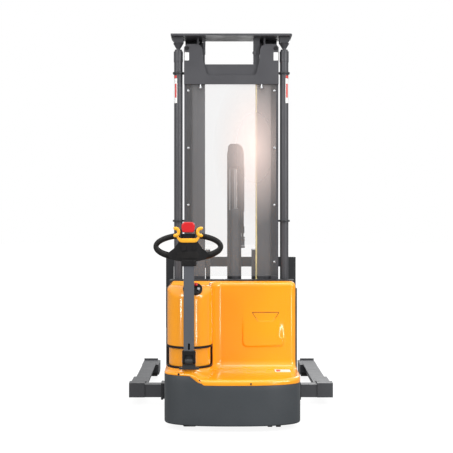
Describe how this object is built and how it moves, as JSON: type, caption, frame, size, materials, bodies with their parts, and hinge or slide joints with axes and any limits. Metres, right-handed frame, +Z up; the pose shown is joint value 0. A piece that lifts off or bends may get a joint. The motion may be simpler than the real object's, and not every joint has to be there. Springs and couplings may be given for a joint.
{
  "type": "straddle walkie stacker",
  "caption": "Pedestrian straddle stacker: battery-driven rear unit with offset tiller, two-stage free-lift mast, adjustable straddle legs and sliding forks.",
  "frame": {"origin": "on the floor, under the middle of the machine outline", "axes": "+X the machine's right, +Y forward to the fork tips, +Z up"},
  "size_m": [1.276, 2.035, 2.285],
  "materials": {
    "hood_paint": "glossy moulded hood",
    "skirt_paint": "satin slate-grey powder coat",
    "frame_paint": "satin dark grey powder coat",
    "mast_paint": "satin grey powder coat",
    "tiller_paint": "satin grey powder coat",
    "black_plastic": "fine-textured black plastic",
    "rubber_black": "matt rubber",
    "red_plastic": "glossy red plastic",
    "yellow_plastic": "glossy yellow plastic",
    "chrome": "polished hard chrome",
    "zinc": "zinc-plated steel",
    "steel": "machined steel",
    "tyre_rubber": "dark polyurethane and rubber treads",
    "clear_sheet": "clear polycarbonate",
    "chain_steel": "oiled leaf chain",
    "hose_cream": "pale yellow hose jacket",
    "aluminium": "cast aluminium",
    "gauge_lens": "dark glossy lens"
  },
  "bodies": {
    "chassis": {"rear_skirt": "skirt_paint", "base_frame": "frame_paint", "motor_hood": "hood_paint", "slot_trim": "rubber_black", "dash_panel": "black_plastic", "battery_gauge": "gauge_lens", "battery_box": "frame_paint", "battery": "black_plastic", "pump_motor": "black_plastic", "oil_tank": "mast_paint", "motor_controller": "aluminium", "steer_bearing": "steel", "leg_sockets": "frame_paint", "outer_channels": "mast_paint", "outer_rollers": "steel", "yoke_plate": "mast_paint", "lift_cylinders": "mast_paint", "cylinder_clamps": "frame_paint", "mast_guard": "clear_sheet", "screws": "zinc", "hex_bolts": "zinc"},
    "estop": {"estop_button": "red_plastic"},
    "key": {"key_switch": "zinc"},
    "steer_unit": {"drive_gearbox": "frame_paint", "traction_motor": "black_plastic", "tiller_shroud": "hood_paint", "tiller_base": "black_plastic", "pivot_pin": "zinc"},
    "drive_wheel": {"drive_tyre": "tyre_rubber", "drive_hub": "aluminium"},
    "tiller": {"tiller_knuckle": "black_plastic", "tiller_arm": "tiller_paint", "gas_spring": "black_plastic", "tiller_head": "black_plastic", "grip_left": "black_plastic", "grip_right": "black_plastic", "head_frame": "yellow_plastic"},
    "throttle_l": {"throttle_left": "yellow_plastic"},
    "throttle_r": {"throttle_right": "yellow_plastic"},
    "belly": {"belly_button": "red_plastic"},
    "rocker": {"lift_rocker": "black_plastic"},
    "horn": {"horn_button": "black_plastic"},
    "caster_swivel": {"caster_fork": "frame_paint"},
    "caster_wheel": {"caster_wheels": "tyre_rubber"},
    "leg_l": {"leg_left": "mast_paint"},
    "leg_r": {"leg_right": "mast_paint"},
    "load_wheel_l": {"load_wheel_left": "tyre_rubber"},
    "load_wheel_r": {"load_wheel_right": "tyre_rubber"},
    "inner_mast": {"inner_beams": "mast_paint", "inner_rollers": "steel", "crosshead_plate": "mast_paint", "lift_rods": "chrome", "freelift_barrel": "mast_paint", "mast_hose": "hose_cream"},
    "freelift": {"freelift_head": "frame_paint", "lift_chain": "chain_steel"},
    "sheave": {"chain_sheave": "steel"},
    "lift_carriage": {"carriage": "mast_paint"},
    "fork_l": {"fork_left": "frame_paint"},
    "fork_r": {"fork_right": "frame_paint"}
  },
  "joints": [
    {"name": "estop_press", "type": "slide", "parent": "chassis", "child": "estop", "axis": [0, 0.7071, -0.7071], "range_m": [0, 0.005]},
    {"name": "key_turn", "type": "hinge", "parent": "chassis", "child": "key", "pos_m": [-0.188, -0.94486, 0.77364], "axis": [0, -0.7071, 0.7071], "range_deg": [0, 90]},
    {"name": "steering", "type": "hinge", "parent": "chassis", "child": "steer_unit", "pos_m": [-0.24, -0.8425, 0.11], "axis": [0, 0, 1], "range_deg": [-90, 90]},
    {"name": "drive_wheel_spin", "type": "hinge", "parent": "steer_unit", "child": "drive_wheel", "pos_m": [-0.24, -0.8425, 0.11], "axis": [1, 0, 0], "continuous": true},
    {"name": "tiller_tilt", "type": "hinge", "parent": "steer_unit", "child": "tiller", "pos_m": [-0.24, -0.9945, 0.39], "axis": [1, 0, 0], "range_deg": [0, 80], "stiffness_Nm_per_rad": 30, "springref_deg": -20.05},
    {"name": "throttle_left_turn", "type": "hinge", "parent": "tiller", "child": "throttle_l", "pos_m": [-0.32, -0.9995, 1.101], "axis": [1, 0, 0], "range_deg": [-20, 20], "stiffness_Nm_per_rad": 0.6},
    {"name": "throttle_right_turn", "type": "hinge", "parent": "tiller", "child": "throttle_r", "pos_m": [-0.16, -0.9995, 1.101], "axis": [1, 0, 0], "range_deg": [-20, 20], "stiffness_Nm_per_rad": 0.6},
    {"name": "belly_press", "type": "slide", "parent": "tiller", "child": "belly", "axis": [0, 0, -1], "range_m": [0, 0.007], "stiffness_N_per_m": 1500, "springref_m": -0.004},
    {"name": "rocker_tip", "type": "hinge", "parent": "tiller", "child": "rocker", "pos_m": [-0.268, -0.9885, 1.01], "axis": [1, 0, 0], "range_deg": [-7, 7], "stiffness_Nm_per_rad": 0.3},
    {"name": "horn_press", "type": "slide", "parent": "tiller", "child": "horn", "axis": [0, 1, 0], "range_m": [0, 0.003], "stiffness_N_per_m": 600, "springref_m": -0.001},
    {"name": "caster_swivel_turn", "type": "hinge", "parent": "chassis", "child": "caster_swivel", "pos_m": [0.235, -0.8175, 0.2], "axis": [0, 0, 1], "continuous": true},
    {"name": "caster_wheel_spin", "type": "hinge", "parent": "caster_swivel", "child": "caster_wheel", "pos_m": [0.235, -0.8575, 0.06], "axis": [1, 0, 0], "continuous": true},
    {"name": "leg_left_slide", "type": "slide", "parent": "chassis", "child": "leg_l", "axis": [-1, 0, 0], "range_m": [-0.1, 0.012]},
    {"name": "leg_right_slide", "type": "slide", "parent": "chassis", "child": "leg_r", "axis": [1, 0, 0], "range_m": [-0.1, 0.012]},
    {"name": "load_wheel_left_spin", "type": "hinge", "parent": "leg_l", "child": "load_wheel_l", "pos_m": [-0.572, 0.7725, 0.042], "axis": [1, 0, 0], "continuous": true},
    {"name": "load_wheel_right_spin", "type": "hinge", "parent": "leg_r", "child": "load_wheel_r", "pos_m": [0.572, 0.7725, 0.042], "axis": [1, 0, 0], "continuous": true},
    {"name": "mast_lift", "type": "slide", "parent": "chassis", "child": "inner_mast", "axis": [0, 0, 1], "range_m": [0, 1.6]},
    {"name": "free_lift", "type": "slide", "parent": "inner_mast", "child": "freelift", "axis": [0, 0, 1], "range_m": [0, 0.62], "deforming": ["lift_chain"]},
    {"name": "sheave_turn", "type": "hinge", "parent": "freelift", "child": "sheave", "pos_m": [0.028, -0.2975, 1.575], "axis": [0, 1, 0], "range_deg": [-830, 830]},
    {"name": "carriage_lift", "type": "slide", "parent": "freelift", "child": "lift_carriage", "axis": [0, 0, 1], "range_m": [0, 0.62]},
    {"name": "fork_left_shift", "type": "slide", "parent": "lift_carriage", "child": "fork_l", "axis": [-1, 0, 0], "range_m": [-0.045, 0.07]},
    {"name": "fork_right_shift", "type": "slide", "parent": "lift_carriage", "child": "fork_r", "axis": [1, 0, 0], "range_m": [-0.045, 0.07]}
  ],
  "couplings": [
    {"joint": "throttle_right_turn", "follows": "throttle_left_turn", "ratio": 1},
    {"joint": "sheave_turn", "follows": "free_lift", "rad_per_m": 22.727},
    {"joint": "carriage_lift", "follows": "free_lift", "ratio": 1}
  ]
}
